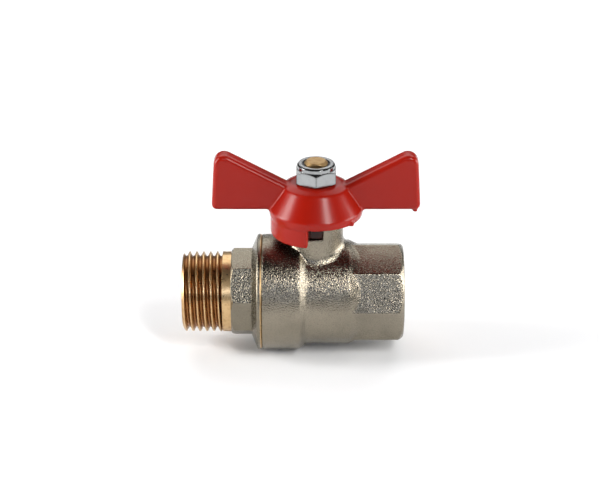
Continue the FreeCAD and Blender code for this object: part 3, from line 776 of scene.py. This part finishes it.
@dataclass(frozen=True)
class SoftEdges:
    """Rounds every edge of a piece, as a die or a forging tool leaves it.

    Attributes:
        cell: The side of the new faces, in metres.
        passes: How often the whole piece is smoothed.
        outer_passes: How often its outside alone is smoothed after that.
        most_triangles: The count that it is thinned to, where it is flattest.
        pull: How far a point moves towards its neighbours' middle in one pass.
    """

    cell: float
    passes: int
    outer_passes: int = 0
    most_triangles: int = 170_000
    pull: float = 0.5

    def apply(self, piece: bpy.types.Object, outside: Optional[Callable[[Vector], bool]] = None) -> None:
        """Give a piece even new faces and smooth them.

        Args:
            piece: The piece, a closed mesh.
            outside: Tells whether a point is on the outside.
        """
        take(piece)
        bpy.ops.object.modifier_add(type="REMESH")
        remesh = piece.modifiers[-1]
        remesh.mode = "VOXEL"
        remesh.voxel_size = self.cell
        bpy.ops.object.modifier_apply(modifier=remesh.name)
        self.smooth(piece, self.passes)
        if outside is not None:
            group = piece.vertex_groups.new(name="outside")
            group.add([v.index for v in piece.data.vertices if outside(v.co)], 1.0, "REPLACE")
            self.smooth(piece, self.outer_passes, group.name)
        self.thin(piece)
        bpy.ops.object.shade_smooth()
        log.info("%s has %d faces", piece.name, len(piece.data.polygons))

    def thin(self, piece: bpy.types.Object) -> None:
        """Merge a piece's flattest faces if it has too many.

        Args:
            piece: The piece, which is the active one.
        """
        share = self.most_triangles / (2 * len(piece.data.polygons))
        if share < 1.0:
            bpy.ops.object.modifier_add(type="DECIMATE")
            thinned = piece.modifiers[-1]
            thinned.ratio = share
            bpy.ops.object.modifier_apply(modifier=thinned.name)

    def smooth(self, piece: bpy.types.Object, passes: int, group: str = "") -> None:
        """Smooth a piece.

        Args:
            piece: The piece, which is the active one.
            passes: How often it is smoothed.
            group: The only vertex group that is smoothed, or nothing for the whole piece.
        """
        bpy.ops.object.modifier_add(type="SMOOTH")
        smooth = piece.modifiers[-1]
        smooth.factor = self.pull
        smooth.iterations = passes
        smooth.vertex_group = group
        bpy.ops.object.modifier_apply(modifier=smooth.name)


@dataclass(frozen=True)
class Stub:
    """The snapped-off end of a casting gate: a short peg, wider at its top.

    Attributes:
        name: The piece's name, until it is joined to the casting.
        length: Its length.
        radius: The radius of its top.
        taper: Its lower radius, as a share of its top's.
        sides: How many sides it has.
    """

    name: str
    length: float
    radius: float = 0.8 * MM
    taper: float = 0.75
    sides: int = 20

    def build(self, place: Point) -> bpy.types.Object:
        """Make the stub.

        Args:
            place: Its middle.

        Returns:
            The stub, a piece of its own.
        """
        bpy.ops.object.select_all(action="DESELECT")
        bpy.ops.mesh.primitive_cone_add(vertices=self.sides, radius1=self.radius * self.taper, radius2=self.radius,
                                        depth=self.length, location=place)
        bpy.context.object.name = self.name
        return bpy.context.object


@dataclass
class Handle:
    """The butterfly handle, a die casting with the stubs of its two gates.

    Attributes:
        nodes: The frame's nodes, by name.
        edges: How its edges are rounded.
        rim_stub: The stub under the rim.
        rim_stub_rise: How far its middle is above the rim's underside.
        rim_stub_angle: Where on the rim it is, about the stem's axis.
        wing_stub: The stub on the wing's lower front corner.
        wing_stub_inset: How far its middle is from the wing's end and from its front.
        tip_depth: How much of the wing's end is searched for that corner.
    """

    nodes: dict[str, bpy.types.Object]
    edges: SoftEdges = SoftEdges(cell=0.27 * MM, passes=9)
    rim_stub: Stub = Stub("rim_gate", 1.2 * MM)
    rim_stub_rise: float = 0.35 * MM
    rim_stub_angle: float = math.radians(-26.0)
    wing_stub: Stub = Stub("wing_gate", 1.4 * MM)
    wing_stub_inset: float = 1.3 * MM
    tip_depth: float = 2.0 * MM

    def build(self) -> None:
        """Build the casting and coat it."""
        casting = merged_copy(self.nodes["wing_handle"], "handle_casting")
        _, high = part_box("wing_handle")
        stubs = [self.wing_stub.build(self.wing_corner(high)), self.rim_stub.build(self.rim_underside(high))]
        take(casting, *stubs)
        bpy.ops.object.join()
        self.edges.apply(casting)
        casting.data.materials.clear()
        dress(casting, PowderCoat().build())
        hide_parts("wing_handle")
        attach(casting, Body.HANDLE.value)

    def points(self) -> list[Vector]:
        """Return the points of the frame's handle."""
        return [vertex.co for vertex in self.nodes["wing_handle"].data.vertices]

    def wing_corner(self, high: Vector) -> Point:
        """Find the lower front corner of the wing.

        Args:
            high: The upper corner of the handle's box.

        Returns:
            The middle of the wing's stub.
        """
        tip = [place for place in self.points() if place.x > high.x - self.tip_depth]
        wing_front = min(place.y for place in tip)
        wing_bottom = min(place.z for place in tip)
        return (high.x - self.wing_stub_inset, wing_front + self.wing_stub_inset, wing_bottom)

    def rim_underside(self, high: Vector) -> Point:
        """Find the underside of the rim at the stub's angle.

        Args:
            high: The upper corner of the handle's box.

        Returns:
            The middle of the rim's stub.
        """
        towards = Vector((math.cos(self.rim_stub_angle), math.sin(self.rim_stub_angle), 0.0))
        outer = [place for place in self.points() if place.dot(towards) > high.y - self.rim_stub.radius]
        rim = min(outer, key=lambda place: place.z)
        return (rim.x, rim.y, rim.z + self.rim_stub_rise)


@dataclass
class Fastening:
    """The stem, and the nut that holds the handle on it.

    Attributes:
        nodes: The frame's nodes, by name.
        brass: The metal of the stem and the gland nut.
        nylon: The ring in the lock nut.
    """

    nodes: dict[str, bpy.types.Object]
    brass: TurnedBrass = TurnedBrass(name="stem_brass", colour=srgb(176, 146, 102), roughness=0.38,
                                     rings_along=(0.05, 0.05, 1.0))
    nylon: TurnedPlastic = TurnedPlastic("dark_nylon", srgb(40, 40, 42), srgb(26, 26, 28))

    def build(self) -> None:
        """Dress the stem, the gland nut, the lock nut and its nylon ring."""
        brass = self.brass.build()
        dress(self.nodes["stem"], brass)
        dress(self.nodes["gland_nut"], brass)
        dress(self.nodes["lock_nut"], BrightZinc().build())
        dress(self.nodes["lock_nut_insert"], self.nylon.build())


@dataclass
class Shell:
    """The forged body and the screwed end piece.

    Attributes:
        nodes: The frame's nodes, by name.
        edges: How the forging's edges are rounded.
        inner_radius: The pipe's bores and threads are nearer than this to its axis.
        stem_bore: The stem's bore is nearer than this to the stem's axis.
        bare_length: How much of the end piece is bare, from its threaded end.
        joint_edge: How far before the body the end piece's plate stops.
    """

    nodes: dict[str, bpy.types.Object]
    edges: SoftEdges = SoftEdges(cell=0.25 * MM, passes=1, outer_passes=3)
    inner_radius: float = 11.6 * MM
    stem_bore: float = 6.2 * MM
    bare_length: float = 12.65 * MM
    joint_edge: float = 0.35 * MM

    def is_outside(self, point: Vector) -> bool:
        """Tell whether a point of the forging is on its outside.

        Args:
            point: The point, in metres.

        Returns:
            Whether it is outside the pipe's bores and the stem's bore.
        """
        in_bore = math.hypot(point.y, point.z) < self.inner_radius
        in_boss = point.z > 0.0 and math.hypot(point.x, point.y) < self.stem_bore
        return not (in_bore or in_boss)

    def build(self) -> None:
        """Build and plate the forging, and plate the end piece."""
        forging = merged_copy(self.nodes["valve_body"], "body_forging")
        self.edges.apply(forging, self.is_outside)
        forging.data.materials.clear()
        dress(forging, BodyFinish().build())
        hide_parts("valve_body")
        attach(forging, Body.VALVE.value)
        connector_low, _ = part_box("end_connector")
        body_low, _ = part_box("valve_body")
        finish = ConnectorFinish(plated_from=connector_low.x + self.bare_length,
                                 plated_to=body_low.x - self.joint_edge)
        dress(self.nodes["end_connector"], finish.build())


@dataclass
class Inside:
    """The ball, its seats and the stem's seals.

    Attributes:
        nodes: The frame's nodes, by name.
        seal: The plastic of the seats and the stem's seals.
        seals: The pieces made of it.
    """

    nodes: dict[str, bpy.types.Object]
    seal: TurnedPlastic = TurnedPlastic("seal_plastic", srgb(238, 237, 232), srgb(222, 220, 212))
    seals: tuple[str, ...] = ("inlet_seat", "outlet_seat", "thrust_washer", "packing_ring_lower",
                              "packing_ring_upper")

    def build(self) -> None:
        """Dress the ball in chrome and the seals in white plastic."""
        dress(self.nodes["ball"], PolishedChrome().build())
        white = self.seal.build()
        for name in self.seals:
            dress(self.nodes[name], white)


@dataclass(frozen=True)
class SoftBox:
    """One soft rectangular light.

    Attributes:
        name: The light's name.
        place: Where it hangs, in metres.
        width: Its width.
        height: Its height.
        power: Its power in watts.
        colour: Its tint.
    """

    name: str
    place: Point
    width: float
    height: float
    power: float
    colour: Point = (1.0, 1.0, 1.0)

    def hang(self, aim: Point) -> None:
        """Add the light to the scene.

        Args:
            aim: The point that it faces.
        """
        data = bpy.data.lights.new(self.name, "AREA")
        data.shape = "RECTANGLE"
        data.size = self.width
        data.size_y = self.height
        data.energy = self.power
        data.color = self.colour
        light = bpy.data.objects.new(self.name, data)
        light.location = self.place
        light.rotation_euler = (Vector(aim) - Vector(self.place)).to_track_quat("-Z", "Y").to_euler()
        light.visible_camera = False
        bpy.context.scene.collection.objects.link(light)


@dataclass
class Studio:
    """Camera, lights and floor.

    Attributes:
        tilt: How far the camera looks down.
        lens: Its focal length, in millimetres.
        sensor: Its sensor's width, in millimetres.
        camera_place: Where it stands.
        clip: The nearest and the furthest that it sees.
        floor_size: The side of the floor.
        floor_drop: How far the floor is below the valve.
        aim: The point that every light faces.
        lights: The lights: two at the front corners, a wide one behind, a cool one in front and a wall each side.
        bright_below: The room is brightest up to this height, from 0 at eye level to 1 overhead.
        dim_above: The room is dimmest from this height.
        low_light: How bright it is below.
        high_light: How bright it is above.
    """

    tilt: float = math.radians(24.9)
    lens: float = 110.9
    sensor: float = 36.0
    camera_place: Point = (-4.09 * MM, -435.4 * MM, 214.0 * MM)
    clip: tuple[float, float] = (0.01, 10.0)
    floor_size: float = 6.0
    floor_drop: float = 0.02 * MM
    aim: Point = (0.0, 0.0, 0.01)
    lights: tuple[SoftBox, ...] = (
        SoftBox("left_box", (-0.75, -0.05, 0.32), 0.22, 0.5, 5.2),
        SoftBox("right_box", (0.36, -0.57, 0.56), 0.15, 0.38, 4.6),
        SoftBox("back_box", (0.0, 0.75, 0.80), 1.5, 0.95, 8.0),
        SoftBox("front_box", (-0.05, -0.95, 0.45), 0.26, 0.18, 0.95, (0.79, 0.88, 1.08)),
        SoftBox("left_wall", (-0.8, 0.057, 0.152), 0.57, 0.34, 3.6),
        SoftBox("right_wall", (0.8, 0.057, 0.152), 0.57, 0.34, 5.4),
    )
    bright_below: float = 0.2
    dim_above: float = 0.75
    low_light: float = 0.45
    high_light: float = 0.4

    def build(self) -> None:
        """Set up the view, the light and the floor."""
        self.add_camera()
        self.add_floor()
        for light in self.lights:
            light.hang(self.aim)
        self.add_world()

    def add_camera(self) -> None:
        """Put the camera in front, looking down on the valve."""
        data = bpy.data.cameras.new("camera")
        data.lens = self.lens
        data.sensor_width = self.sensor
        data.clip_start, data.clip_end = self.clip
        camera = bpy.data.objects.new("camera", data)
        camera.location = self.camera_place
        camera.rotation_euler = (math.pi / 2 - self.tilt, 0.0, 0.0)
        bpy.context.scene.collection.objects.link(camera)
        bpy.context.scene.camera = camera

    def add_floor(self) -> None:
        """Lay a wide pale floor just under the valve."""
        low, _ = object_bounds()
        bpy.ops.object.select_all(action="DESELECT")
        bpy.ops.mesh.primitive_plane_add(size=self.floor_size, location=(0.0, 0.0, low[2] - self.floor_drop))
        floor = bpy.context.object
        floor.name = "floor"
        floor.data.materials.append(PaleFloor().build())
        floor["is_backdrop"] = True

    def add_world(self) -> None:
        """Fill in with a room that is bright near the floor and dim above."""
        world = bpy.data.worlds.new("world")
        world.use_nodes = True
        tree = world.node_tree
        direction = tree.nodes.new("ShaderNodeTexCoord")
        split = tree.nodes.new("ShaderNodeSeparateXYZ")
        fade = tree.nodes.new("ShaderNodeMapRange")
        for name, value in (("From Min", self.bright_below), ("From Max", self.dim_above),
                            ("To Min", self.low_light), ("To Max", self.high_light)):
            fade.inputs[name].default_value = value
        tree.links.new(direction.outputs["Generated"], split.inputs[0])
        tree.links.new(split.outputs["Z"], fade.inputs["Value"])
        tree.links.new(fade.outputs["Result"], tree.nodes["Background"].inputs["Strength"])
        bpy.context.scene.world = world
        bpy.context.scene.view_settings.view_transform = "Standard"


@dataclass
class Valve:
    """The whole valve."""

    nodes: dict[str, bpy.types.Object]

    def build(self) -> None:
        """Build and dress every sub-assembly in order."""
        for assembly in (Shell, Inside, Fastening, Handle):
            log.info("building %s", assembly.__name__)
            assembly(self.nodes).build()


def main() -> None:
    """Build the valve and the studio."""
    logging.basicConfig(level=logging.INFO, format="%(name)s: %(message)s")
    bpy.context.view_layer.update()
    Valve(frame["nodes"]).build()
    Studio().build()


if __name__ == "__main__":
    main()
